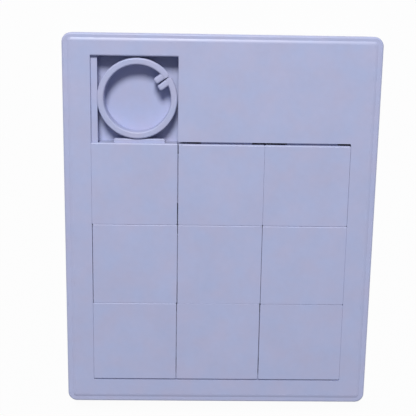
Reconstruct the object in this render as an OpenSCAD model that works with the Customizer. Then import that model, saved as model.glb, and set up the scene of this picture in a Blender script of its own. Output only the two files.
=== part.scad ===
// Sliding tile puzzle: nine blank tiles in a moulded frame, with a split ring in the empty cell.
// Lies flat with the face up. X runs to the right, Y to the top of the face, Z out of the face.

/* [Plate] */
// width of the frame at the left and the right of the opening
margin = 10.5; // [8.7:0.1:14]
// width of the frame below the opening
low_margin = 9.45; // [8.4:0.05:14]
// width of the frame above the empty cell
top_margin = 8.45; // [7:0.05:14]
// thickness from the back to the face
plate_t = 10; // [8.3:0.1:14]
// radius of the four corners, seen from the front
corner_r = 3.6; // [3.4:0.1:6]
// width of the low rim around the raised face
rim_w = 1.5; // [1.2:0.1:2]
// how far the rim lies below the face
rim_drop = 0.35; // [0.2:0.05:0.6]
// rounding of the rim's outer edge
rim_edge_r = 0.8; // [0.4:0.1:1.2]
// rounding of the raised face's edge
face_edge_r = 1.4; // [0.3:0.1:1.4]
// radius of the small rounding around the back
back_edge_r = 0.6; // [0.2:0.1:1]
// thickness of the face plate and of the lip that holds the tongues down
face_t = 1.4; // [1.2:0.1:3]
// thickness of the outer skirt
skirt_t = 2; // [1.5:0.1:2.6]

/* [Cells] */
// distance from one column of tiles to the next
pitch_x = 33; // [27:0.1:40]
// distance from one row of tiles to the next
pitch_y = 31.9; // [26:0.1:39]
// free travel of a full column below the panel
row_play = 0.55; // [0.4:0.05:1.4]
// radius of the opening's corners, seen from the front
opening_corner_r = 0.5; // [0.4:0.1:2]
// rounding of the opening's edge at the face
opening_edge_r = 0.1; // [0.1:0.05:0.4]
// rounding of the face's edge above the empty cell
cell_edge_r = 0.7; // [0.3:0.1:1]
// width of the ledge along the left and the bottom wall
ledge_w = 2.45; // [2:0.05:3]

/* [Tiles] */
// seam between two tiles of a row
seam_x = 0.25; // [0.25:0.05:0.8]
// seam between two tiles of a column
seam_y = 0.15; // [0.15:0.05:0.8]
// corner radius of a tile face
tile_corner_r = 0.5; // [0.45:0.05:2]
// rounding of a tile face's edge
tile_edge_r = 0.15; // [0.1:0.05:0.4]
// how far a tongue reaches under the neighbour
tongue_out = 1.5; // [1.1:0.05:2.6]
// width of a tongue
tongue_w = 19.5; // [12:0.5:24]
// how far a tongue lies from the middle of its side, away from the rebates
tongue_shift = 0.55; // [0:0.05:1]
// thickness of a tongue
tongue_t = 2; // [1.2:0.1:2.5]
// rounding of a tongue's leading edge
tongue_edge_r = 0.6; // [0.3:0.1:0.9]
// wall of a tile's hollow lower body
tile_wall = 1.5; // [1.2:0.1:2]
// thickness of the stiffening ribs under a tile
tile_rib = 1.2; // [0.8:0.1:1.6]
// height of the gap below a tile's ribs
rib_lift = 1; // [0.5:0.1:2]

/* [Split ring] */
// wall of the ring
ring_wall = 2.55; // [2.2:0.05:3]
// how far the ring's top lies below the face
ring_sunk = 0.5; // [0.3:0.05:0.7]
// how far the collar around the ring's top stands out over the body below it
ring_collar = 0.3; // [0.25:0.05:0.5]
// how much the body's taper narrows the ring's lower end
ring_lead_in = 1.6; // [1.4:0.05:1.7]
// rounding of the ring's upper edges
ring_edge_r = 0.8; // [0.2:0.05:0.8]
// direction of the split, from the ring's right side towards the top
split_angle = 35; // [0:1:90]
// width of the split through the ring
split_w = 0.35; // [0.3:0.05:0.6]
// width of the split between the ears' tips
split_tip_w = 0.7; // [0.3:0.05:1]
// turn of the two ears against the ring's radius
ear_turn = 4; // [-10:1:10]
// width of one ear
ear_w = 2.1; // [1.6:0.05:3]
// how far an ear stands in from the ring
ear_out = 3.6; // [2:0.1:4]
// corner radius of an ear, seen from the front
ear_corner_r = 0.6; // [0.6:0.05:0.8]
// how far an ear's top lies below the ring's top
ear_drop = 0.1; // [0.1:0.05:0.5]
// rounding of an ear's upper edges
ear_edge_r = 0.5; // [0.2:0.05:0.55]
// depth of the notch between the ring's two ends
notch = 1.1; // [0.3:0.1:1.2]

/* [Back] */
// thickness of the back plate, which is the floor of the cells
floor_t = 2.2; // [1.6:0.1:3]
// radius of a press pin
pin_r = 1.2; // [1:0.1:1.5]
// distance from a press pin's end to the face plate
pin_short = 1.5; // [0.5:0.1:2.5]
// radius of a pin's socket boss
boss_r = 2.6; // [2.2:0.1:3]
// thickness of the walls around the cells
guide_t = 1.6; // [1.2:0.1:2]
// thickness of the ribs under the blank panel
panel_rib = 1.4; // [1:0.1:2]

/* [Clearances] */
// tile face below the frame's face
flush_gap = 0.1; // [0:0.05:0.4]
// tongue to the lip or tile above it
lip_gap = 0.2; // [0.1:0.05:0.4]
// tongue tip to the end of its groove
groove_gap = 0.4; // [0.2:0.05:0.6]
// tile body to the ledge or tongue beside it
rebate_gap = 0.1; // [0.1:0.05:0.3]
// a column at the end of its travel to the panel
stop_gap = 0.1; // [0.05:0.05:0.3]
// lowest tiles to the bottom wall
rest_gap = 0.45; // [0.1:0.05:0.6]
// a tile moved into the empty cell to the panel beside it
side_gap = 0.1; // [0.1:0.05:0.3]
// a tile moved into the empty cell to the top wall
top_gap = 0.5; // [0.3:0.05:1]
// back plate to the skirt around it
back_gap = 0.2; // [0.1:0.05:0.4]
// pin to socket, each side
pin_gap = 0.1; // [0.05:0.05:0.2]
// overhang of the ring's collar over the ledge, which the body below it clears
ring_over = 0.15; // [-0.2:0.05:0.15]
// ring's collar to the ledge and the tongue that it lies over
collar_gap = 0.1; // [0.1:0.05:0.2]
// ring's collar to the tongue of the tile below it, seen from the front
ring_tongue_gap = 0; // [0:0.05:0.8]
// ring to the walls at its top and right
ring_wall_gap = 0.28; // [0.2:0.02:0.4]

/* [Hidden] */
$fn = 96;
columns = 3;
rows = 3;
over = 1;
plastic = [0.67, 0.69, 0.82];
plastic_ring = [0.70, 0.73, 0.86];
plastic_back = [0.60, 0.62, 0.76];

// a tile: its face plate, and the smaller body below it that stands on the floor
tile_w = pitch_x - seam_x;
tile_h = pitch_y - seam_y;
tile_top = plate_t - flush_gap;
tile_under = plate_t - face_t;
tongue_top = tile_under - lip_gap;
rebate = max(ledge_w, tongue_out) + rebate_gap;
body_w = tile_w - rebate;
body_h = tile_h - rebate;

// how far each tile lies from its own place, to the right and up, from the top row down
settled = [
  [[-0.02, -0.04], [0.13, -0.05], [-0.01, -0.04]],
  [[0.12, 0], [0.12, 0], [0.02, 0]],
  [[-0.02, 0.04], [-0.04, 0.05], [0.02, 0.04]]
];

// the opening for three by three tiles with the empty cell above its first column, and the plate around it
column_h = rest_gap + rows * pitch_y - seam_y;
block_w = columns * pitch_x;
block_h = column_h + row_play + stop_gap;
cell_w = pitch_x - seam_x / 2 + side_gap;
cell_h = column_h + pitch_y + top_gap;
groove = tongue_out + groove_gap;
plate_w = block_w + 2 * margin;
plate_h = low_margin + cell_h + top_margin;
x0 = -block_w / 2;
y0 = low_margin - plate_h / 2;
block_y1 = y0 + block_h;
cell_x1 = x0 + cell_w;
cell_y1 = y0 + cell_h;

// the ring fills the empty cell, between the ledge, the tongue of the top left tile and two walls
ring_h = plate_t - ring_sunk - floor_t;
collar_z = tongue_top + collar_gap - floor_t;
tongue_tip_y = y0 + column_h + tongue_out;
ring_fit_x = cell_w - ledge_w + ring_over - ring_wall_gap;
ring_fit_y = cell_y1 - tongue_tip_y - ring_tongue_gap - ring_wall_gap;
ring_r = min(ring_fit_x, ring_fit_y) / 2;
ring_x = x0 + ledge_w - ring_over + ring_r;
ring_y = tongue_tip_y + ring_tongue_gap + ring_r;

// the hollow of the frame, the back plate that closes it and the pins that hold the two together
hollow_w = plate_w - 2 * skirt_t;
hollow_h = plate_h - 2 * skirt_t;
hollow_r = corner_r - skirt_t;
pin_l = tile_under - floor_t - pin_short;
pin_x = hollow_w / 2 - boss_r;
pin_y = hollow_h / 2 - boss_r;
panel_y0 = block_y1 + groove + guide_t;
panel_mid_y = (panel_y0 + hollow_h / 2) / 2;
pins = [
  [-pin_x, -pin_y], [0, -pin_y], [pin_x, -pin_y],
  [-pin_x, y0 + pitch_y], [pin_x, y0 + pitch_y],
  [-pin_x, y0 + 2 * pitch_y], [pin_x, y0 + 2 * pitch_y],
  [-pin_x, pin_y], [0, panel_mid_y], [pin_x, pin_y]
];

// a quarter of a disc in the corner between the two axes
module quarter(r) {
  intersection() {
    circle(r);
    square(r);
  }
}

// half of a slab's cross-section: from the middle out to reach, rounded at the top and at the bottom
module half_section(reach, t, top_r, bottom_r) {
  square([reach - top_r, t]);
  translate([0, bottom_r]) square([reach, t - top_r - bottom_r]);
  square([reach - bottom_r, t - top_r]);
  translate([reach - top_r, t - top_r]) quarter(top_r);
  translate([reach - bottom_r, bottom_r]) mirror([0, 1]) quarter(bottom_r);
}

// half of an opening's cross-section: flares out by a round at the top
module half_flare(reach, t, flare_r) {
  square([reach, t]);
  difference() {
    translate([0, t - flare_r]) square([reach + flare_r, flare_r]);
    translate([reach + flare_r, t - flare_r]) circle(flare_r);
  }
}

// a slab with round corners, rounded along its top and its bottom edge
module soft_slab(w, h, t, plan_r, top_r, bottom_r) {
  translate([0, h / 2 - plan_r, 0])
    rotate([90, 0, 0])
      linear_extrude(h - 2 * plan_r)
        both_ways() half_section(w / 2, t, top_r, bottom_r);
  translate([plan_r - w / 2, 0, 0])
    rotate([90, 0, 90])
      linear_extrude(w - 2 * plan_r)
        both_ways() half_section(h / 2, t, top_r, bottom_r);
  at_corners(w / 2 - plan_r, h / 2 - plan_r)
    rotate_extrude()
      half_section(plan_r, t, top_r, bottom_r);
}

// the cutter for an opening: round corners, edge rounded over at the face
module flared_opening(w, h, t, plan_r, flare_r) {
  translate([0, h / 2 - plan_r, 0])
    rotate([90, 0, 0])
      linear_extrude(h - 2 * plan_r)
        both_ways() half_flare(w / 2, t, flare_r);
  translate([plan_r - w / 2, 0, 0])
    rotate([90, 0, 90])
      linear_extrude(w - 2 * plan_r)
        both_ways() half_flare(h / 2, t, flare_r);
  at_corners(w / 2 - plan_r, h / 2 - plan_r)
    rotate_extrude()
      half_flare(plan_r, t, flare_r);
}

module both_ways() {
  children();
  mirror([1, 0]) children();
}

module at_corners(x, y) {
  for (sx = [-1, 1])
    for (sy = [-1, 1])
      translate([sx * x, sy * y, 0]) children();
}

// a flat rounded rectangle around the middle
module round_rect(w, h, r) {
  square([w - 2 * r, h], center = true);
  square([w, h - 2 * r], center = true);
  for (sx = [-1, 1])
    for (sy = [-1, 1])
      translate([sx * (w / 2 - r), sy * (h / 2 - r)]) circle(r);
}

// a box between two corners of the plan, from z0 up to z1
module plan_box(left, low, right, high, z0, z1) {
  translate([left, low, z0]) cube([right - left, high - low, z1 - z0]);
}

module at_pins() {
  for (p = pins) translate([p[0], p[1], 0]) children();
}

// the hollow under the lips where the tiles run; with a wall, the walls and ledges around it too
module run(wall, z0, z1) {
  in = wall > 0 ? -wall : ledge_w;
  out = groove + wall;
  plan_box(x0 + in, y0 + in, out - x0, block_y1 + out, z0, z1);
  plan_box(x0 + in, y0 + in, cell_x1 + out, cell_y1 + out, z0, z1);
}

// stiffening ribs under the blank panel
module panel_ribs() {
  left = cell_x1 + groove + guide_t - over / 2;
  right = hollow_w / 2 + over / 2;
  low = panel_y0 - over / 2;
  high = hollow_h / 2 + over / 2;
  half = panel_rib / 2;
  for (i = [0, 1, 2]) {
    x = i * right / 3;
    plan_box(x - half, low, x + half, high, floor_t, tile_under + over / 2);
  }
  plan_box(left, panel_mid_y - half, right, panel_mid_y + half, floor_t, tile_under + over / 2);
}

// the plate's outer shape: a slab with a low rim around its raised face
module outer_shape() {
  soft_slab(plate_w, plate_h, plate_t - rim_drop, corner_r, rim_edge_r, back_edge_r);
  raised_t = face_edge_r + 2 * rim_drop;
  translate([0, 0, plate_t - raised_t])
    soft_slab(plate_w - 2 * rim_w, plate_h - 2 * rim_w, raised_t, corner_r - rim_w, face_edge_r, rim_drop);
}

module front_frame() {
  color(plastic)
    difference() {
      union() {
        difference() {
          outer_shape();
          translate([0, 0, -over])
            linear_extrude(tile_under + over)
              round_rect(hollow_w, hollow_h, hollow_r);
        }
        run(guide_t, floor_t, tile_under + over / 2);
        panel_ribs();
        at_pins() translate([0, 0, floor_t]) cylinder(h = tile_under - floor_t + over / 2, r = boss_r);
      }
      run(0, -over, tile_under);
      translate([0, y0 + block_h / 2, tongue_top])
        flared_opening(block_w, block_h, plate_t - tongue_top, opening_corner_r, opening_edge_r);
      translate([x0 + cell_w / 2, y0 + cell_h / 2, tongue_top])
        flared_opening(cell_w, cell_h, plate_t - tongue_top, opening_corner_r, opening_edge_r);
      translate([x0 + cell_w / 2, cell_y1 - pitch_y / 4, plate_t - cell_edge_r])
        flared_opening(cell_w - 2 * cell_edge_r, pitch_y / 2, cell_edge_r, opening_corner_r, cell_edge_r);
      at_pins() translate([0, 0, -over]) cylinder(h = over + floor_t + pin_l + pin_gap, r = pin_r + pin_gap);
    }
}

module back_plate() {
  color(plastic_back) {
    linear_extrude(floor_t)
      round_rect(hollow_w - 2 * back_gap, hollow_h - 2 * back_gap, hollow_r - back_gap);
    at_pins() cylinder(h = floor_t + pin_l, r = pin_r);
  }
}

// a tongue that stands out towards +Y from the plan's X axis, level with the ledge
module tongue() {
  root = tile_wall / 2;
  intersection() {
    translate([-tongue_w / 2, 0, tongue_top - tongue_t])
      rotate([90, 0, 90])
        linear_extrude(tongue_w)
          union() {
            translate([-root, 0]) square([root + tongue_out - tongue_edge_r, tongue_t]);
            square([tongue_out, tongue_t - tongue_edge_r]);
            translate([tongue_out - tongue_edge_r, tongue_t - tongue_edge_r]) quarter(tongue_edge_r);
          }
    translate([0, (tongue_out - root) / 2 - over / 2, 0])
      linear_extrude(plate_t)
        round_rect(tongue_w, tongue_out + root + over, tongue_edge_r);
  }
}

// a tile with its lower left face corner at the origin of the plan
module tile() {
  mid_x = rebate + body_w / 2;
  mid_y = rebate + body_h / 2;
  difference() {
    union() {
      translate([tile_w / 2, tile_h / 2, tile_under])
        soft_slab(tile_w, tile_h, tile_top - tile_under, tile_corner_r, tile_edge_r, tile_edge_r / 2);
      translate([mid_x, mid_y, floor_t])
        linear_extrude(tile_under - floor_t + tile_edge_r)
          round_rect(body_w, body_h, tile_corner_r);
    }
    translate([mid_x, mid_y, floor_t - over])
      linear_extrude(tile_under - floor_t + over)
        round_rect(body_w - 2 * tile_wall, body_h - 2 * tile_wall, tile_corner_r / 2);
  }
  translate([mid_x, mid_y, 0]) {
    rib_x = body_w / 2 - tile_wall / 2;
    rib_y = body_h / 2 - tile_wall / 2;
    half = tile_rib / 2;
    plan_box(-half, -rib_y, half, rib_y, floor_t + rib_lift, tile_under + tile_edge_r);
    plan_box(-rib_x, -half, rib_x, half, floor_t + rib_lift, tile_under + tile_edge_r);
  }
  translate([mid_x + tongue_shift, tile_h, 0]) tongue();
  translate([tile_w, mid_y + tongue_shift, 0]) rotate([0, 0, -90]) tongue();
}

// puts a tile into its row, counted from the top, and its column, counted from the left
module tile_at(row, column) {
  lies = settled[row - 1][column - 1];
  color(plastic)
    translate([
      x0 + (column - 1) * pitch_x + seam_x / 2 + lies[0],
      y0 + rest_gap + (rows - row) * pitch_y + lies[1],
      0
    ])
      tile();
}

module ring_section() {
  inner = ring_r - ring_wall;
  polygon([
    [inner, 0], [ring_r - ring_lead_in, 0], [ring_r - ring_collar, collar_z], [ring_r, collar_z],
    [ring_r, ring_h - ring_edge_r], [inner, ring_h - ring_edge_r]
  ]);
  translate([inner + ring_edge_r, ring_h - ring_edge_r]) square([ring_wall - 2 * ring_edge_r, ring_edge_r]);
  translate([ring_r - ring_edge_r, ring_h - ring_edge_r]) quarter(ring_edge_r);
  translate([inner + ring_edge_r, ring_h - ring_edge_r]) mirror([1, 0]) quarter(ring_edge_r);
}

// the split ring: the ears at the split are pinched to take it out
module split_ring() {
  ear_l = ear_out + ring_wall / 2;
  ear_mid = ring_r - ring_wall / 2 - ear_l / 2;
  color(plastic_ring)
    translate([ring_x, ring_y, floor_t])
      rotate([0, 0, split_angle])
        difference() {
          union() {
            rotate_extrude() ring_section();
            translate([ring_r - ring_wall / 2, 0, 0])
              rotate([0, 0, ear_turn])
                for (side = [-1, 1])
                  translate([ear_mid - ring_r + ring_wall / 2, side * (split_w + ear_w) / 2, 0])
                    soft_slab(ear_l, ear_w, ring_h - ear_drop, ear_corner_r, ear_edge_r, ear_edge_r / 2);
          }
          translate([ring_r - ring_wall / 2, 0, -over])
            rotate([0, 0, ear_turn])
              linear_extrude(ring_h + 2 * over) {
                polygon([
                  [-ear_l - over, split_tip_w / 2], [0, split_w / 2], [ring_wall, split_w / 2],
                  [ring_wall, -split_w / 2], [0, -split_w / 2], [-ear_l - over, -split_tip_w / 2]
                ]);
                polygon([
                  [ring_wall / 2 - notch, 0],
                  [ring_wall / 2 + notch, 2 * notch],
                  [ring_wall / 2 + notch, -2 * notch]
                ]);
              }
        }
}

module tile_r1c1() { tile_at(1, 1); }
module tile_r1c2() { tile_at(1, 2); }
module tile_r1c3() { tile_at(1, 3); }
module tile_r2c1() { tile_at(2, 1); }
module tile_r2c2() { tile_at(2, 2); }
module tile_r2c3() { tile_at(2, 3); }
module tile_r3c1() { tile_at(3, 1); }
module tile_r3c2() { tile_at(3, 2); }
module tile_r3c3() { tile_at(3, 3); }

front_frame();
back_plate();
split_ring();
tile_r1c1();
tile_r1c2();
tile_r1c3();
tile_r2c1();
tile_r2c2();
tile_r2c3();
tile_r3c1();
tile_r3c2();
tile_r3c3();
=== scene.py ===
# %% [markdown]
# # A sliding puzzle in moulded plastic
#
# The object is a flat hand puzzle. Nine blank tiles sit in a shallow frame, and a split ring lies in the
# empty cell at the top left. Everything is moulded in the same pale lavender plastic, so the picture lives
# from soft light on rounded edges, from thin seams and from the dark recess around the ring.
#
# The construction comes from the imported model, which is loaded first. Places and outer sizes are read from
# it, so each piece lies exactly where its solid lies. Lengths are written in millimetres and multiplied by
# `MM`, because the scene is in metres.

# %% Load the construction
import math

import bpy
from mathutils import Matrix, Vector


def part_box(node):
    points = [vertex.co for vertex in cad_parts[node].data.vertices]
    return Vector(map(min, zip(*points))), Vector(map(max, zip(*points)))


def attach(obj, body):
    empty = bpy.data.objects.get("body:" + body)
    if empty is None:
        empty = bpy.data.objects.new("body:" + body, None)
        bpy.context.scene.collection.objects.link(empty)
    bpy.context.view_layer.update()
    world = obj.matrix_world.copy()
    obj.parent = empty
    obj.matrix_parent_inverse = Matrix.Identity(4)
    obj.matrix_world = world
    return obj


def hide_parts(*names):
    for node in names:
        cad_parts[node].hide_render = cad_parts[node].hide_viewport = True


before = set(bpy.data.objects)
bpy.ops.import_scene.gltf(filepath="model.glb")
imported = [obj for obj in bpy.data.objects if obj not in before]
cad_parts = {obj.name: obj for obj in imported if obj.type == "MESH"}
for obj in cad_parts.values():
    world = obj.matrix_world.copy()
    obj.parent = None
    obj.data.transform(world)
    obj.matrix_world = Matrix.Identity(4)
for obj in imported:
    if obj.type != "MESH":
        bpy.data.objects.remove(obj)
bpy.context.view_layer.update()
MM = 0.001
print("nodes:", sorted(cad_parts))

# %% [markdown]
# ## Camera
#
# The puzzle is seen from above its top edge, tilted a little, through a normal lens. The eye, the point in
# the middle of the picture and the lean of the picture fix the camera completely, so its matrix is written
# from three axes instead of being turned by hand.

# %% Camera
EYE = Vector((-12.06, 76.92, 330.74)) * MM
LOOK_AT = Vector((-4.71, 7.42, 10.0)) * MM
LEAN = math.radians(0.909)
LENS_MM = 73.56

scene = bpy.context.scene
backwards = (EYE - LOOK_AT).normalized()
top = Vector((-math.sin(LEAN), math.cos(LEAN), 0))
rightwards = top.cross(backwards).normalized()
upwards = backwards.cross(rightwards)
camera = bpy.data.objects.new("camera", bpy.data.cameras.new("camera"))
scene.collection.objects.link(camera)
axes = Matrix((rightwards, upwards, backwards)).transposed()
camera.matrix_world = Matrix.Translation(EYE) @ axes.to_4x4()
camera.data.lens = LENS_MM
scene.camera = camera
print("camera stands", round(EYE.z, 3), "m above the table")

# %% [markdown]
# ## Node trees as Python
#
# Shapes and finishes are both node trees. One small class wraps a socket, so that sums and products of
# sockets can be written as plain expressions, and `node` adds any other node: its settings first, then
# what goes into its sockets.

# %% A socket that can be calculated with
class Wire:
    """A value in a node tree, on its way from one node's output to other nodes' inputs."""

    def __init__(self, tree, socket=None):
        self.tree = tree
        self.socket = socket

    def node(self, kind, settings=None, inputs=None, out=0):
        """Adds a node: its settings first, then what goes into its sockets."""
        made = self.tree.nodes.new(kind)
        for name, value in (settings or {}).items():
            setattr(made, name, value)
        for name, value in (inputs or {}).items():
            for one in value if isinstance(value, list) else [value]:
                if isinstance(one, Wire):
                    self.tree.links.new(one.socket, made.inputs[name])
                else:
                    made.inputs[name].default_value = one
        return Wire(self.tree, made.outputs[out] if made.outputs else None)

    def also(self, out):
        """Another output of the same node."""
        return Wire(self.tree, self.socket.node.outputs[out])

    def math(self, operation, first, second):
        return self.node("ShaderNodeMath", {"operation": operation}, {0: first, 1: second})

    def vector(self, operation, *values, **named):
        inputs = dict(enumerate(values)) | named
        return self.node("ShaderNodeVectorMath", {"operation": operation}, inputs)

    def __add__(self, other):
        return self.math("ADD", self, other)

    def __sub__(self, other):
        return self.math("SUBTRACT", self, other)

    def __rsub__(self, other):
        return self.math("SUBTRACT", other, self)

    def __mul__(self, other):
        return self.math("MULTIPLY", self, other)

    def __truediv__(self, other):
        return self.math("DIVIDE", self, other)

    def __lt__(self, other):
        return self.math("LESS_THAN", self, other)

    __radd__ = __add__
    __rmul__ = __mul__


print("a wire can be added, subtracted, multiplied, divided and compared")

# %% [markdown]
# A shape is a Geometry Nodes tree with one named input for each of its sizes, so the same tree can be run
# again with other sizes. Two helpers open and close such a tree. The modifier that runs it could also be set
# up by hand, but then the sizes would be hidden in the file instead of standing here.

# %% Start and end of a shape tree
def shape_tree(name, sizes, points=False):
    """A new Geometry Nodes tree with one named input for each size."""
    tree = bpy.data.node_groups.new(name, "GeometryNodeTree")
    tree.interface.new_socket("Shape", in_out="OUTPUT", socket_type="NodeSocketGeometry")
    if points:
        tree.interface.new_socket("Points", in_out="INPUT", socket_type="NodeSocketGeometry")
    for size in sizes:
        tree.interface.new_socket(size, in_out="INPUT", socket_type="NodeSocketFloat")
    entry = tree.nodes.new("NodeGroupInput")
    values = {socket.name: Wire(tree, socket) for socket in entry.outputs if socket.name}
    return tree, Wire(tree), values


def close_tree(start, shape):
    """Links the finished shape to the tree's output."""
    out = start.tree.nodes.new("NodeGroupOutput")
    start.tree.links.new(shape.socket, out.inputs[0])


print("shape trees so far:", len(bpy.data.node_groups))

# %% [markdown]
# ## One rule for every moulding
#
# Each piece comes out of a steel mould, and such a mould is milled with round tools. So all pieces are made
# of one form: a slab with round corners in plan, a rounded upper edge, a rounded lower edge and walls that
# may lean, which moulders call draft. It could be a bevelled box, but a bevel gives one radius to all edges.
#
# Here a tree grows it instead. A filled outline is extruded again and again, and each new outline is set a
# little in or out and a little higher, along a quarter circle. An outline with round corners is set in by
# moving each point towards the nearest point of the outline's straight core, which is exact everywhere.
# A negative upper round turns outwards and makes the cutter for an opening with a softened rim.

# %% The slab that every piece is made of
CORNER_STEPS = 12
ROUND_STEPS = 6
WELD = 0.002 * MM
SLAB_SIZES = ["X", "Y", "Width", "Depth", "Low", "High", "Corner", "Upper Round", "Lower Round",
              "Draft", "Draft Height", "Above"]


def make_slab_tree():
    """The tree that grows a slab from its sizes."""
    tree, start, size = shape_tree("moulded slab", SLAB_SIZES)
    half_x = size["Width"] / 2 - size["Corner"]
    half_y = size["Depth"] / 2 - size["Corner"]
    core_high = start.node("ShaderNodeCombineXYZ", inputs={"X": half_x, "Y": half_y})
    core_low = start.vector("SCALE", core_high, Scale=-1)

    def moved(shape, chosen, factor, height):
        """Moves the chosen points to factor times their distance from the core, at that height."""
        place = start.node("GeometryNodeInputPosition")
        flat = start.vector("MULTIPLY", place, (1, 1, 0))
        core = start.vector("MAXIMUM", start.vector("MINIMUM", flat, core_high), core_low)
        outward = start.vector("SCALE", start.vector("SUBTRACT", flat, core), Scale=factor)
        lifted = start.node("ShaderNodeCombineXYZ", inputs={"Z": height})
        target = start.vector("ADD", start.vector("ADD", core, outward), lifted)
        inputs = {"Geometry": shape, "Position": target}
        if chosen:
            inputs["Selection"] = chosen
        return start.node("GeometryNodeSetPosition", inputs=inputs)

    outline = start.node("GeometryNodeCurvePrimitiveQuadrilateral", {"mode": "RECTANGLE"},
                         {"Width": size["Width"], "Height": size["Depth"]})
    outline = start.node("GeometryNodeFilletCurve", {"mode": "POLY"},
                         {"Curve": outline, "Count": CORNER_STEPS, "Radius": size["Corner"]})
    sheet = start.node("GeometryNodeFillCurve", {"mode": "NGONS"}, {"Curve": outline})
    sheet = start.node("GeometryNodeMergeByDistance", inputs={"Geometry": sheet, "Distance": WELD})

    quarter = [math.pi / 2 * step / ROUND_STEPS for step in range(ROUND_STEPS + 1)]
    upper, lower = size["Upper Round"], size["Lower Round"]
    upper_height = start.math("ABSOLUTE", upper, 0)
    levels = [(size["Draft"] + lower * (1 - math.sin(a)), size["Low"] + lower * (1 - math.cos(a)))
              for a in quarter]
    levels.append((size["Draft"] * 0, size["Low"] + size["Draft Height"]))
    levels += [(upper * (1 - math.cos(a)), size["High"] - upper_height * (1 - math.sin(a)))
               for a in quarter]
    levels.append((upper, size["High"] + size["Above"]))

    radius = size["Corner"]
    reach, height = radius - levels[0][0], levels[0][1]
    shape = moved(sheet, None, reach / radius, height)
    floor = start.node("GeometryNodeFlipFaces", inputs={"Mesh": shape})
    lid = None
    for inset, height in levels[1:]:
        inputs = {"Mesh": shape, "Offset Scale": 0.0}
        if lid:
            inputs["Selection"] = lid
        shape = start.node("GeometryNodeExtrudeMesh", {"mode": "FACES"}, inputs)
        lid = shape.also("Top")
        next_reach = radius - inset
        shape = moved(shape, lid, next_reach / reach, height)
        reach = next_reach
    shape = start.node("GeometryNodeJoinGeometry", inputs={"Geometry": [floor, shape]})
    shape = start.node("GeometryNodeMergeByDistance", inputs={"Geometry": shape, "Distance": WELD})
    place = start.node("ShaderNodeCombineXYZ", inputs={"X": size["X"], "Y": size["Y"]})
    shape = start.node("GeometryNodeTransform", inputs={"Geometry": shape, "Translation": place})
    close_tree(start, shape)
    return tree


slab_tree = make_slab_tree()
print("slab tree:", len(slab_tree.nodes), "nodes")

# %% [markdown]
# A piece is a few slabs, joined or cut from one another with Mesh Boolean. `slab` places one, with lengths
# in metres, and the walls stand straight unless a draft is given. `finished` ends each tree: edges that
# turn sharply stay crisp, everything else is shaded smooth, and the material is set. The exact solver takes
# longer than the fast one, but it leaves every piece closed.

# %% Slabs, cuts and joins
SHARP = math.radians(40)


def slab(start, x, y, width, depth, low, high, corner, upper=0.0, lower=0.0, draft=0.0, draft_height=None,
         above=0.0):
    """One slab around x and y, from low to high."""
    if draft_height is None:
        draft_height = (high - low) * 0.5
    values = [x, y, width, depth, low, high, corner, upper, lower, draft, draft_height, above]
    return start.node("GeometryNodeGroup", {"node_tree": slab_tree}, dict(zip(SLAB_SIZES, values)))


def joined(start, *shapes):
    """The shapes as one closed surface."""
    settings = {"operation": "UNION", "solver": "EXACT"}
    return start.node("GeometryNodeMeshBoolean", settings, {"Mesh 2": list(shapes)})


def cut(start, shape, *cutters):
    """The shape without the cutters."""
    settings = {"operation": "DIFFERENCE", "solver": "EXACT"}
    return start.node("GeometryNodeMeshBoolean", settings, {"Mesh 1": shape, "Mesh 2": list(cutters)})


def finished(start, shape, material):
    """The shape with welded points, crisp and smooth edges and its material."""
    shape = start.node("GeometryNodeRealizeInstances", inputs={"Geometry": shape})
    shape = start.node("GeometryNodeMergeByDistance", inputs={"Geometry": shape, "Distance": WELD})
    soft = start.node("GeometryNodeInputMeshEdgeAngle") < SHARP
    shape = start.node("GeometryNodeSetShadeSmooth", {"domain": "FACE"},
                       {"Geometry": shape, "Shade Smooth": True})
    shape = start.node("GeometryNodeSetShadeSmooth", {"domain": "EDGE"},
                       {"Geometry": shape, "Shade Smooth": soft})
    return start.node("GeometryNodeSetMaterial", inputs={"Geometry": shape, "Material": material})


print("edges sharper than", round(math.degrees(SHARP)), "degrees stay crisp")

# %% [markdown]
# A modifier runs a tree once, and the result is kept as a plain mesh. The piece is then tied to the body that
# it moves with, and the solid that it stands for is hidden. The big flat faces are given their own weight in
# the shading, so that the narrow rounds beside them don't bend them.

# %% From a tree to a piece
def grow(name, tree, sizes, body, node, points=()):
    """Runs a tree with its sizes and keeps the result as a plain mesh that stands for a node."""
    mesh = bpy.data.meshes.new(name)
    mesh.from_pydata(points, [], [])
    piece = bpy.data.objects.new(name, mesh)
    scene.collection.objects.link(piece)
    modifier = piece.modifiers.new("moulding", "NODES")
    modifier.node_group = tree
    for item in tree.interface.items_tree:
        if item.name in sizes:
            modifier[item.identifier] = sizes[item.name]
    even = piece.modifiers.new("even shading", "WEIGHTED_NORMAL")
    even.keep_sharp = True
    ready = piece.evaluated_get(bpy.context.evaluated_depsgraph_get())
    piece.data = bpy.data.meshes.new_from_object(ready)
    piece.data.name = name
    piece.modifiers.clear()
    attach(piece, body)
    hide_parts(node)
    print(name, len(piece.data.vertices), "points,", len(piece.data.polygons), "faces")
    return piece


print("nodes to stand for:", len(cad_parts))

# %% [markdown]
# Some pieces have one straight edge that is rounder than the others: a tile's upper side, which catches the
# light, and the face above the empty cell. A bevel with weights could do that, but a cutter is exact and
# works inside a tree. It is a square bar with a round rod taken out of it, laid along the edge.

# %% A cutter that rounds one long edge
# A full circle is a square with corners of almost half its width.
ALMOST = 0.9999
BAR_CORNER = 0.01 * MM
ROD_SHARE = 0.6


def peg(start, radius, low, high, upper=0.0):
    """A round slab around the origin."""
    return slab(start, 0.0, 0.0, 2 * radius, 2 * radius, low, high, radius * ALMOST, upper)


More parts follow.
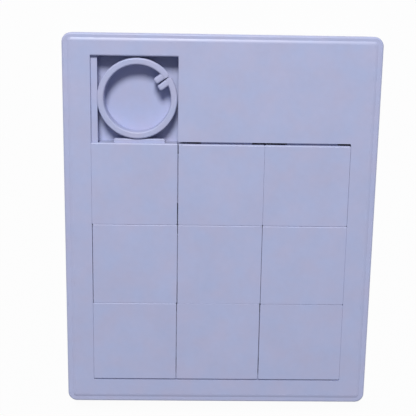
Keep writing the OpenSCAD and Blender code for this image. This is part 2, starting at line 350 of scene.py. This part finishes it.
def edge_cutter(start, left, right, edge, top, radius, inward):
    """Rounds an edge that runs along X. The material is on the side that inward, 1 or -1, points to."""
    middle, length = (left + right) * 0.5, right - left
    bar = slab(start, middle, edge, length, 2 * radius, top - radius, top + radius, BAR_CORNER)
    rod = peg(start, radius, length * -ROD_SHARE, length * ROD_SHARE)
    place = start.node("ShaderNodeCombineXYZ",
                       inputs={"X": middle, "Y": edge + inward * radius, "Z": top - radius})
    rod = start.node("GeometryNodeTransform",
                     inputs={"Geometry": rod, "Rotation": (0, math.pi / 2, 0), "Translation": place})
    return cut(start, bar, rod)


print("a peg's corners take", ALMOST, "of its radius")

# %% [markdown]
# ## The plastic
#
# All pieces are injection moulded in one opaque, satin plastic. It isn't one even colour: the melt flows
# and cools unevenly, so the surface is faintly cloudy over a centimetre or two, and its hue drifts a little.
# Handling leaves flecks that are shinier, and a fine grain from the tool breaks up the gloss.
#
# Painted images could show this too, but each mesh would have to be unwrapped for them. Here the four scales
# are separate noises in Object coordinates, so they run on from piece to piece without a seam.

# %% Satin moulded plastic
LAVENDER = (0.442, 0.468, 0.655)
# The back plate is the floor of the cells and of the recess around the ring. It is the same plastic as the
# other pieces, and its colour is made a little darker as painted shade on that recess floor.
BACK_LAVENDER_PAINTED_SHADE = (0.429, 0.454, 0.639)
WARMER = (1.030, 0.992, 0.975)
COOLER = (0.970, 1.008, 1.025)
CLOUD_SIZE = 14 * MM
CLOUD_GLOSS = 0.10
DRIFT_SIZE = 8 * MM
DRIFT_PLACE = (1, 2, 3)
DRIFT_CONTRAST = 2.5
FLECK_SIZE = 2.2 * MM
FLECK_SHARE = 0.6
FLECK_GLOSS = 0.14
GRAIN_SIZE = 0.25 * MM
GRAIN_DEPTH = 0.1 * MM
GRAIN_STRENGTH = 0.06
SHINE = 0.35
REFRACTION = 1.5
# The noises run from 0 to 1 around this value.
MEAN = 0.5


def noise(start, size, place, detail=2.0):
    """Soft noise whose lumps are about as wide as the size."""
    inputs = {"Vector": place, "Scale": 1 / size, "Detail": detail}
    return start.node("ShaderNodeTexNoise", inputs=inputs)


def satin_plastic(name, colour, cloudiness=0.09, gloss=0.39):
    """Plastic of that colour, with uneven shade, hue, gloss and grain."""
    material = bpy.data.materials.new(name)
    material.use_nodes = True
    material.node_tree.nodes.clear()
    start = Wire(material.node_tree)
    place = start.node("ShaderNodeTexCoord", out="Object")
    cloud = noise(start, CLOUD_SIZE, place, detail=3.0)
    drift = noise(start, DRIFT_SIZE, start.vector("ADD", place, DRIFT_PLACE))
    fleck = noise(start, FLECK_SIZE, place)
    grain = noise(start, GRAIN_SIZE, place)
    shade = 1 + cloudiness * (cloud - MEAN) + cloudiness * FLECK_SHARE * (fleck - MEAN)
    warm, cool = [tuple(a * b for a, b in zip(colour, hue)) + (1,) for hue in (WARMER, COOLER)]
    turn = 0.5 + DRIFT_CONTRAST * (drift - MEAN)
    hue = start.node("ShaderNodeMix", {"data_type": "RGBA"}, {0: turn, 6: warm, 7: cool}, out=2)
    tint = start.vector("SCALE", hue, Scale=shade)
    height = 0.5 * grain + 0.5 * fleck
    bump = start.node("ShaderNodeBump", inputs={
        "Strength": GRAIN_STRENGTH, "Distance": GRAIN_DEPTH, "Height": height})
    roughness = gloss + FLECK_GLOSS * (fleck - MEAN) + CLOUD_GLOSS * (cloud - MEAN)
    shader = start.node("ShaderNodeBsdfPrincipled", inputs={
        "Base Color": tint, "Roughness": roughness, "Normal": bump, "IOR": REFRACTION,
        "Specular IOR Level": SHINE})
    start.node("ShaderNodeOutputMaterial", inputs={"Surface": shader})
    return material


frame_plastic = satin_plastic("frame plastic", LAVENDER)
tile_plastic = satin_plastic("tile plastic", LAVENDER)
ring_plastic = satin_plastic("ring plastic", LAVENDER)
# The back plate's plastic carries the painted shade of the recess floor.
back_plastic_painted_shade = satin_plastic("back plastic", BACK_LAVENDER_PAINTED_SHADE)
print("plastics:", [m.name for m in bpy.data.materials if m.name.endswith("plastic")])

# %% [markdown]
# ## The tiles
#
# A tile is a square face plate on a smaller hollow body. The body leaves a rebate along the left and the
# lower edge, and a tongue stands out at the top and at the right, so neighbours hook under one another and
# under the lip of the frame. Nine tiles follow the same rule, so one tree makes them all, and only the
# place changes. Each becomes its own mesh, because each slides by itself.

# %% One tree for nine tiles
TILE_PLATE = 1.3 * MM
TILE_CORNER = 0.5 * MM
TILE_EDGE = 0.08 * MM
TILE_WALL = 1.5 * MM
TILE_RIB = 1.2 * MM
RIB_CORNER = 0.2 * MM
RIB_RAISED = 1.0 * MM
HOLLOW_OVER = 0.1 * MM
FOOT_INSET = 0.02 * MM
FOOT_EDGE = 0.15 * MM
REBATE = 2.55 * MM
TONGUE_OUT = 1.5 * MM
TONGUE_WIDTH = 19.5 * MM
TONGUE_SHIFT = 0.55 * MM
TONGUE_THICK = 2.0 * MM
TONGUE_DROP = 0.1 * MM
TONGUE_CORNER = 0.6 * MM
TONGUE_EDGE = 0.35 * MM
RIGHT_TONGUE_DROP = 0.8 * MM
# Pieces that are joined reach into each other, and a cutter reaches out of what it cuts.
SINK_IN = 0.3 * MM
CLEAR = 1.0 * MM
TILE_SIZES = ["Left", "Front", "Width", "Depth", "Floor", "Top", "Upper Edge"]


def make_tile_tree(material):
    """The tree of one tile: face, foot, ribs and tongues."""
    tree, start, size = shape_tree("tile", TILE_SIZES)
    under = size["Top"] - TILE_PLATE
    body_w = size["Width"] - REBATE
    body_d = size["Depth"] - REBATE
    mid_x = size["Left"] + REBATE + body_w * 0.5
    mid_y = size["Front"] + REBATE + body_d * 0.5
    face = slab(start, size["Left"] + size["Width"] * 0.5, size["Front"] + size["Depth"] * 0.5,
                size["Width"], size["Depth"], under, size["Top"], TILE_CORNER, TILE_EDGE, TILE_EDGE * 0.5)
    foot = slab(start, mid_x, mid_y, body_w - 2 * FOOT_INSET, body_d - 2 * FOOT_INSET, size["Floor"],
                under + SINK_IN, TILE_CORNER, 0.0, FOOT_EDGE)
    hollow = slab(start, mid_x, mid_y, body_w - 2 * TILE_WALL, body_d - 2 * TILE_WALL,
                  size["Floor"] - CLEAR, under + HOLLOW_OVER, TILE_CORNER * 0.5)
    rib_low = size["Floor"] + RIB_RAISED
    rib_x = slab(start, mid_x, mid_y, body_w - TILE_WALL, TILE_RIB, rib_low, under + SINK_IN, RIB_CORNER)
    rib_y = slab(start, mid_x, mid_y, TILE_RIB, body_d - TILE_WALL, rib_low, under + SINK_IN, RIB_CORNER)
    tongue_high = under - TONGUE_DROP
    tongue_low = tongue_high - TONGUE_THICK
    reach = TONGUE_OUT + TILE_WALL * 0.5
    shift = (TONGUE_OUT - TILE_WALL * 0.5) / 2
    tongue_y = slab(start, mid_x + TONGUE_SHIFT, size["Front"] + size["Depth"] + shift, TONGUE_WIDTH, reach,
                    tongue_low, tongue_high, TONGUE_CORNER, TONGUE_EDGE, FOOT_EDGE)
    tongue_x = slab(start, size["Left"] + size["Width"] + shift, mid_y + TONGUE_SHIFT, reach, TONGUE_WIDTH,
                    tongue_low, tongue_high - RIGHT_TONGUE_DROP, TONGUE_CORNER, TONGUE_EDGE, FOOT_EDGE)
    soft = edge_cutter(start, size["Left"] - CLEAR, size["Left"] + size["Width"] + CLEAR,
                       size["Front"] + size["Depth"], size["Top"], size["Upper Edge"], -1)
    shape = cut(start, cut(start, joined(start, face, foot), soft), hollow)
    shape = joined(start, shape, rib_x, rib_y, tongue_x, tongue_y)
    close_tree(start, finished(start, shape, material))
    return tree


tile_tree = make_tile_tree(tile_plastic)
print("tile tree:", len(tile_tree.nodes), "nodes")

# %% [markdown]
# In use the tiles have been pushed about. Some seams stand open and others have closed to a hairline that
# can hardly be seen. Here the places come from the construction, which keeps a clear gap everywhere, and a
# face reaches a little further to the left, the right or the top where its seam is a hairline. Below the
# panel the gap is wide, so two faces end a little sooner there. Fingers push the tiles by their upper edges,
# and these are worn rounder in the first row than in the last one.

# %% The nine tiles
HAIRLINE_LEFT = {"tile_r1c1": 0.08 * MM, "tile_r3c1": 0.07 * MM}
HAIRLINE_RIGHT = {"tile_r1c2": 0.075 * MM, "tile_r1c3": 0.075 * MM, "tile_r2c3": 0.085 * MM,
                  "tile_r3c3": 0.085 * MM}
HAIRLINE_TOP = {"tile_r1c2": -0.16 * MM, "tile_r1c3": -0.16 * MM, "tile_r2c1": 0.08 * MM,
                "tile_r2c2": 0.06 * MM, "tile_r2c3": 0.07 * MM, "tile_r3c1": 0.08 * MM,
                "tile_r3c2": 0.08 * MM}
USUAL_EDGE = 0.4 * MM
UPPER_EDGE = {"tile_r1c1": 0.6 * MM, "tile_r1c2": 0.6 * MM, "tile_r1c3": 0.6 * MM, "tile_r2c3": 0.5 * MM,
              "tile_r3c2": 0.15 * MM, "tile_r3c3": 0.15 * MM}

for row in (1, 2, 3):
    for column in (1, 2, 3):
        node = f"tile_r{row}c{column}"
        low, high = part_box(node)
        left, right, upper = [hairline.get(node, 0.0)
                              for hairline in (HAIRLINE_LEFT, HAIRLINE_RIGHT, HAIRLINE_TOP)]
        sizes = {"Left": low.x - left, "Front": low.y, "Width": high.x - low.x - TONGUE_OUT + left + right,
                 "Depth": high.y - low.y - TONGUE_OUT + upper, "Floor": low.z, "Top": high.z,
                 "Upper Edge": UPPER_EDGE.get(node, USUAL_EDGE)}
        grow("moulded_" + node, tile_tree, sizes, node, node)

# %% [markdown]
# ## The frame
#
# The frame is one moulding: a plate whose face is raised a little above a narrow rim, an opening in the
# shape of an L and, below the face, the run for the tiles' tongues. At the left and at the bottom a ledge
# stays standing inside the opening, and at the top and at the right the run reaches under the lip.
#
# Its outer size and the tiles' places come from the construction. The margins say where the opening lies
# between them.

# %% Sizes of the frame
MARGIN = 10.5 * MM
LOW_MARGIN = 9.45 * MM
TOP_MARGIN = 8.45 * MM
COLUMN_PLAY = 0.69 * MM
CELL_PLAY = 0.12 * MM

plate_low, plate_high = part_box("front_frame")
first_low, first_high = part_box("tile_r1c1")
FLOOR = first_low.z
frame_sizes = {
    "Width": plate_high.x - plate_low.x,
    "Depth": plate_high.y - plate_low.y,
    "Thickness": plate_high.z,
    "Floor": FLOOR,
    "Left": plate_low.x + MARGIN,
    "Right": plate_high.x - MARGIN,
    "Bottom": plate_low.y + LOW_MARGIN,
    "Top": first_high.y - TONGUE_OUT + COLUMN_PLAY,
    "Cell Right": first_high.x - TONGUE_OUT + CELL_PLAY,
    "Cell Top": plate_high.y - TOP_MARGIN,
}
print("frame, in mm:", {name: round(value / MM, 2) for name, value in frame_sizes.items()})

# %% [markdown]
# The back is pressed into the frame with ten pins. Pins, sockets and the bosses around them repeat, so their
# places are ten points, and a tree sets one copy on each. The points stand well inside the outer wall, and
# one of them is in the middle of the blank panel.

# %% Places of the press pins
SKIRT = 2.0 * MM
GUIDE = 1.6 * MM
GROOVE = 1.9 * MM
ROW_PITCH = 31.9 * MM
BOSS = 2.6 * MM
PIN = 1.2 * MM


def pin_points():
    """The ten places where the back is pressed into the frame."""
    x = plate_high.x - SKIRT - BOSS
    y = plate_high.y - SKIRT - BOSS
    panel = (frame_sizes["Top"] + GROOVE + GUIDE + plate_high.y - SKIRT) / 2
    levels = [-y, frame_sizes["Bottom"] + ROW_PITCH, frame_sizes["Bottom"] + 2 * ROW_PITCH, y]
    return [(side * x, level, 0) for level in levels for side in (-1, 1)] + [(0, -y, 0), (0, panel, 0)]


def on_points(start, points, shape):
    """One copy of the shape on each point."""
    shape = start.node("GeometryNodeInstanceOnPoints", inputs={"Points": points, "Instance": shape})
    return start.node("GeometryNodeRealizeInstances", inputs={"Geometry": shape})


print("press pins:", len(pin_points()))

# %% [markdown]
# The frame itself is cut in the order in which a mould maker would mill it: the plate with its raised face,
# the hollow, the walls and ribs in the hollow, then the runs and the openings. One block with cutters is
# simpler to read than a mesh of corner points, and every wall keeps its thickness when a size changes.
#
# The raised face meets the rim in a long, gentle slope, which catches the light along the top edge and is in
# shade along the bottom edge. It is the uppermost part of a wide round, whose lower part is inside the plate.

# %% The frame
PLATE_CORNER = 3.6 * MM
RIM = 0.75 * MM
TOP_RIM = 0.45 * MM
RIM_DROP = 0.35 * MM
RIM_EDGE = 0.8 * MM
FACE_EDGE = 2.6 * MM
BACK_EDGE = 0.6 * MM
FACE_PLATE = 1.4 * MM
WALL_CORNER = 0.1 * MM
RUN_CORNER = 0.3 * MM
PANEL_RIB = 1.4 * MM
PANEL_RIBS = 3
LEDGE = 2.45 * MM
LEDGE_DROP = 0.2 * MM
HAIR = 0.01 * MM
OPENING_CORNER = 0.5 * MM
OPENING_EDGE = 0.05 * MM
CELL_EDGE = 0.7 * MM
PIN_PLAY = 0.1 * MM
BOSS_TOP = 1.4 * MM


def make_frame_tree(material):
    """The tree of the frame, with a socket on each of the points."""
    tree, start, size = shape_tree("frame", frame_sizes, points=True)
    face, floor = size["Thickness"], size["Floor"]
    under = face - FACE_PLATE
    left, low = size["Left"], size["Bottom"]
    inner_x, inner_y = size["Width"] * 0.5 - SKIRT, size["Depth"] * 0.5 - SKIRT

    def between(x0, y0, x1, y1, **levels):
        return slab(start, (x0 + x1) * 0.5, (y0 + y1) * 0.5, x1 - x0, y1 - y0, **levels)

    rim_high = face - RIM_DROP
    rim = slab(start, 0.0, 0.0, size["Width"], size["Depth"], 0.0, rim_high, PLATE_CORNER, RIM_EDGE,
               BACK_EDGE)
    raised_low = rim_high - RIM_DROP - FACE_EDGE
    raised = slab(start, 0.0, (RIM - TOP_RIM) / 2, size["Width"] - 2 * RIM, size["Depth"] - RIM - TOP_RIM,
                  raised_low, face, PLATE_CORNER - RIM, FACE_EDGE, draft_height=RIM_DROP)
    shell = joined(start, rim, raised)
    hollow = slab(start, 0.0, 0.0, inner_x * 2, inner_y * 2, -CLEAR, under, PLATE_CORNER - SKIRT)

    wall = {"low": floor, "high": under + SINK_IN, "corner": WALL_CORNER}
    run = {"low": -2 * CLEAR, "high": under, "corner": RUN_CORNER}
    mouth = {"low": under - LEDGE_DROP, "high": face, "corner": OPENING_CORNER, "upper": -OPENING_EDGE,
             "above": CLEAR}
    # The second part of the L begins inside the first and a hair further in, so that no cutters share a face.
    parts = [(left, low, size["Right"], size["Top"]),
             (left + HAIR, low + ROW_PITCH, size["Cell Right"], size["Cell Top"])]
    walls, runs, mouths = [], [], []
    for x0, y0, x1, y1 in parts:
        reach = GROOVE + GUIDE
        walls.append(between(x0 - GUIDE, y0 - GUIDE, x1 + reach, y1 + reach, **wall))
        runs.append(between(x0 + LEDGE, y0 + LEDGE, x1 + GROOVE, y1 + GROOVE, **run))
        mouths.append(between(x0, y0, x1, y1, **mouth))
    mouths.append(edge_cutter(start, x0 + HAIR, x1 - HAIR, y1, face, CELL_EDGE, 1))

    panel_low = size["Top"] + GROOVE + GUIDE - SINK_IN
    panel_left = size["Cell Right"] + GROOVE + GUIDE - SINK_IN
    panel_mid = (panel_low + SINK_IN + inner_y) * 0.5
    half = PANEL_RIB / 2
    ribs = [between(panel_left, panel_mid - half, inner_x + SINK_IN, panel_mid + half, **wall)]
    for rib in range(PANEL_RIBS):
        x = inner_x * (rib / PANEL_RIBS)
        ribs.append(between(x - half, panel_low, x + half, inner_y + SINK_IN, **wall))
    bosses = on_points(start, size["Points"], peg(start, BOSS, floor, under + SINK_IN))
    holes = on_points(start, size["Points"], peg(start, PIN + PIN_PLAY, -2 * CLEAR, under - BOSS_TOP))

    shape = joined(start, cut(start, shell, hollow), *walls, *ribs, bosses)
    for cutter in [*runs, *mouths, holes]:
        shape = cut(start, shape, cutter)
    close_tree(start, finished(start, shape, material))
    return tree


grow("moulded_frame", make_frame_tree(frame_plastic), frame_sizes, "tray", "front_frame",
     pin_points())

# %% [markdown]
# ## The back plate
#
# The back is a flat plate that closes the frame and is the floor of the cells. It holds by press pins on
# its inner side. Where a pin stands on the inside, the plastic shrinks a little more and leaves a shallow
# dimple on the outside. The pins and the dimples use the frame's ten points.

# %% The back plate
back_low, back_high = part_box("back_plate")
BACK_PLAY = 0.2 * MM
BACK_CORNER = PLATE_CORNER - SKIRT - BACK_PLAY
BACK_ROUND = 0.2 * MM
PIN_ROUND = 0.2 * MM
DIMPLE = 2.2 * MM
DIMPLE_SEGMENTS = 24
DIMPLE_FLATNESS = 0.05
DIMPLE_LOWER = 0.02 * MM
back_sizes = {"Width": back_high.x - back_low.x, "Depth": back_high.y - back_low.y, "Thickness": FLOOR,
              "Pin Top": back_high.z}


def make_back_tree(material):
    """The tree of the back plate, with a pin and a dimple on each of the points."""
    tree, start, size = shape_tree("back plate", back_sizes, points=True)
    plate = slab(start, 0.0, 0.0, size["Width"], size["Depth"], 0.0, size["Thickness"], BACK_CORNER,
                 0.0, BACK_ROUND)
    pin = peg(start, PIN, size["Thickness"] * 0.5, size["Pin Top"], PIN_ROUND)
    pins = on_points(start, size["Points"], pin)
    dimple = start.node("GeometryNodeMeshUVSphere", inputs={
        "Segments": DIMPLE_SEGMENTS, "Rings": DIMPLE_SEGMENTS // 2, "Radius": DIMPLE})
    dimple = start.node("GeometryNodeTransform",
                        inputs={"Geometry": dimple, "Scale": (1, 1, DIMPLE_FLATNESS),
                                "Translation": (0, 0, -DIMPLE_LOWER)})
    dimples = on_points(start, size["Points"], dimple)
    shape = cut(start, joined(start, plate, pins), dimples)
    close_tree(start, finished(start, shape, material))
    return tree


grow("moulded_back", make_back_tree(back_plastic_painted_shade), back_sizes, "tray", "back_plate",
     pin_points())

# %% [markdown]
# ## The split ring
#
# The ring lies in the empty cell and keeps the tiles from moving. Two ears at its split are pinched to take
# it out. It is a tapered round slab with a low collar and a round cut, and the ears are two small slabs that
# are joined on before the split is cut through all of them. The split widens towards the tips of the ears and
# ends in a small notch at the outside, so three slits and a wedge are taken out one after another.

# %% The split ring
RING_WALL = 2.55 * MM
RING_EDGE = 0.65 * MM
RING_FOOT_EDGE = 0.1 * MM
RING_LEAD_IN = 1.6 * MM
COLLAR_OUT = 0.3 * MM
COLLAR_THICK = 1.0 * MM
COLLAR_OVERLAP = 0.1 * MM
SPLIT_ANGLE = math.radians(35)
SPLIT = 0.25 * MM
SPLIT_TIP = 0.7 * MM
SPLIT_EDGE = 0.2 * MM
SPLIT_CORNER = 0.05 * MM
EAR_TURN = math.radians(1)
EAR_WIDTH = 2.6 * MM
EAR_OUT = {-1: 3.9 * MM, 1: 3.6 * MM}
EAR_CORNER = 0.9 * MM
EAR_EDGE = 0.85 * MM
EAR_DROP = 0.1 * MM
NOTCH = 1.1 * MM
NOTCH_CORNER = 0.1 * MM
ring_low, ring_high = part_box("split_ring")
ring_sizes = {
    "Middle X": (ring_low.x + ring_high.x) / 2,
    "Middle Y": (ring_low.y + ring_high.y) / 2,
    "Radius": (ring_high.x - ring_low.x) / 2,
    "Low": ring_low.z,
    "High": ring_high.z,
}


def make_ring_tree(material):
    """The tree of the ring: body, collar, ears and split."""
    tree, start, size = shape_tree("split ring", ring_sizes)
    radius, low, high = size["Radius"], size["Low"], size["High"]
    inner = radius - RING_WALL
    collar_low = high - COLLAR_THICK
    collar = slab(start, 0.0, 0.0, radius * 2, radius * 2, collar_low, high, radius * ALMOST, RING_EDGE,
                  draft_height=COLLAR_OVERLAP)
    waist = radius - COLLAR_OUT
    body = slab(start, 0.0, 0.0, waist * 2, waist * 2, low, collar_low + COLLAR_OVERLAP, waist * ALMOST, 0.0,
                RING_FOOT_EDGE, RING_LEAD_IN - COLLAR_OUT, collar_low - low)
    bore = slab(start, 0.0, 0.0, inner * 2, inner * 2, low - CLEAR, high, inner * ALMOST, -RING_EDGE,
                above=CLEAR)
    ears = []
    for side, out in EAR_OUT.items():
        ear_length = out + RING_WALL / 2
        ears.append(slab(start, -ear_length / 2, side * (SPLIT + EAR_WIDTH) / 2, ear_length, EAR_WIDTH, low,
                         high - EAR_DROP, EAR_CORNER, EAR_EDGE, EAR_EDGE / 2))
    through = {"low": low - CLEAR, "high": high, "upper": -SPLIT_EDGE, "above": CLEAR}
    slit_length = ear_length + CLEAR
    lean = math.atan((SPLIT_TIP - SPLIT) / 2 / ear_length)
    slits = [slab(start, RING_WALL / 2, 0.0, RING_WALL + CLEAR, SPLIT, corner=SPLIT_CORNER, **through)]
    for turn in (-lean, lean):
        slit = slab(start, -slit_length / 2, 0.0, slit_length, SPLIT, corner=SPLIT_CORNER, **through)
        slits.append(start.node("GeometryNodeTransform",
                                inputs={"Geometry": slit, "Rotation": (0, 0, turn)}))
    square = 2 * NOTCH
    wedge = slab(start, 0.0, 0.0, square, square, corner=NOTCH_CORNER, **through)
    wedge_place = RING_WALL / 2 - NOTCH + square / math.sqrt(2)
    slits.append(start.node("GeometryNodeTransform", inputs={
        "Geometry": wedge, "Rotation": (0, 0, math.pi / 4), "Translation": (wedge_place, 0, 0)}))
    middle_of_wall = start.node("ShaderNodeCombineXYZ", inputs={"X": radius - RING_WALL / 2})

    def at_split(shape):
        return start.node("GeometryNodeTransform", inputs={
            "Geometry": shape, "Rotation": (0, 0, EAR_TURN), "Translation": middle_of_wall})

    shape = cut(start, joined(start, body, collar), bore)
    shape = joined(start, shape, *[at_split(ear) for ear in ears])
    for slit in slits:
        shape = cut(start, shape, at_split(slit))
    middle = start.node("ShaderNodeCombineXYZ", inputs={"X": size["Middle X"], "Y": size["Middle Y"]})
    shape = start.node("GeometryNodeTransform", inputs={
        "Geometry": shape, "Rotation": (0, 0, SPLIT_ANGLE), "Translation": middle})
    close_tree(start, finished(start, shape, material))
    return tree


grow("moulded_ring", make_ring_tree(ring_plastic), ring_sizes, "ring", "split_ring")

# %% [markdown]
# ## Light and floor
#
# The shadows in the recess tell where the light is: a soft lamp beyond the top edge, about 38 degrees from
# straight above, whose disc is about a third as wide as it is far.

# %% Lamp
LAMP_TILT = math.radians(38)
LAMP_DISTANCE = 1.5
LAMP_LEFT = 0.083
LAMP_WIDTH = 0.46
LAMP_POWER = 21.0

lamp_data = bpy.data.lights.new("lamp", "AREA")
lamp_data.shape = "DISK"
lamp_data.size = LAMP_WIDTH
lamp_data.energy = LAMP_POWER
lamp = bpy.data.objects.new("lamp", lamp_data)
scene.collection.objects.link(lamp)
lamp.location = (-LAMP_LEFT, LAMP_DISTANCE * math.sin(LAMP_TILT), LAMP_DISTANCE * math.cos(LAMP_TILT))
lamp.rotation_euler = (-LAMP_TILT, 0, 0)
print("lamp at", [round(v, 3) for v in lamp.location])

# %% [markdown]
# A weak, bluish sky fills the shadows evenly. The camera and the reflections see plain white there instead,
# so the background is bright while the light on the plastic stays weak. More light could whiten it too, but
# it would wash out the colour of the plastic.

# %% Sky
SKY = 0.14
SKY_COLOUR = (0.90, 0.97, 1.35, 1)


def seen_directly(start):
    """1 for the rays that show a background, 0 for those that carry light onto a surface."""
    path = start.node("ShaderNodeLightPath", out="Is Camera Ray")
    either = start.math("MAXIMUM", path, path.also("Is Glossy Ray"))
    return start.math("MAXIMUM", either, path.also("Is Transmission Ray"))


world = bpy.data.worlds.new("sky")
scene.world = world
world.use_nodes = True
world.node_tree.nodes.clear()
start = Wire(world.node_tree)
seen = seen_directly(start)
hue = start.node("ShaderNodeMix", {"data_type": "RGBA"}, {0: seen, 6: SKY_COLOUR, 7: (1, 1, 1, 1)}, out=2)
sky = start.node("ShaderNodeBackground", inputs={"Color": hue, "Strength": SKY + (1 - SKY) * seen})
start.node("ShaderNodeOutputWorld", inputs={"Surface": sky})
print("sky strength:", SKY)

# %% [markdown]
# The floor is white paper. Most of what the camera sees of it is even white, in the same way as the sky, and
# the rest is lit paper, so a trace of the object's shadow stays.

# %% Floor
FLOOR_WHITE = 0.6
FLOOR_EVEN = 0.96
FLOOR_HALF = 3.0
FIBRE_SIZE = 3 * MM
FIBRE_SHADE = 0.02

paper = bpy.data.materials.new("white paper")
paper.use_nodes = True
paper.node_tree.nodes.clear()
start = Wire(paper.node_tree)
fibre = noise(start, FIBRE_SIZE, start.node("ShaderNodeTexCoord", out="Object"), detail=3.0)
evenness = 1 - FIBRE_SHADE / 2 + FIBRE_SHADE * fibre
tone = start.vector("SCALE", (FLOOR_WHITE, FLOOR_WHITE, FLOOR_WHITE), Scale=evenness)
lit = start.node("ShaderNodeBsdfDiffuse", inputs={"Color": tone})
white = start.node("ShaderNodeEmission", inputs={"Strength": 1.0})
mixed = start.node("ShaderNodeMixShader", inputs={0: FLOOR_EVEN * seen_directly(start), 1: lit, 2: white})
start.node("ShaderNodeOutputMaterial", inputs={"Surface": mixed})

floor_mesh = bpy.data.meshes.new("floor")
corners = [(x * FLOOR_HALF, y * FLOOR_HALF, 0) for x, y in ((-1, -1), (1, -1), (1, 1), (-1, 1))]
floor_mesh.from_pydata(corners, [], [(0, 1, 2, 3)])
floor_mesh.materials.append(paper)
floor = bpy.data.objects.new("floor", floor_mesh)
scene.collection.objects.link(floor)
scene.view_settings.view_transform = "Standard"
print("floor of", 2 * FLOOR_HALF, "m")
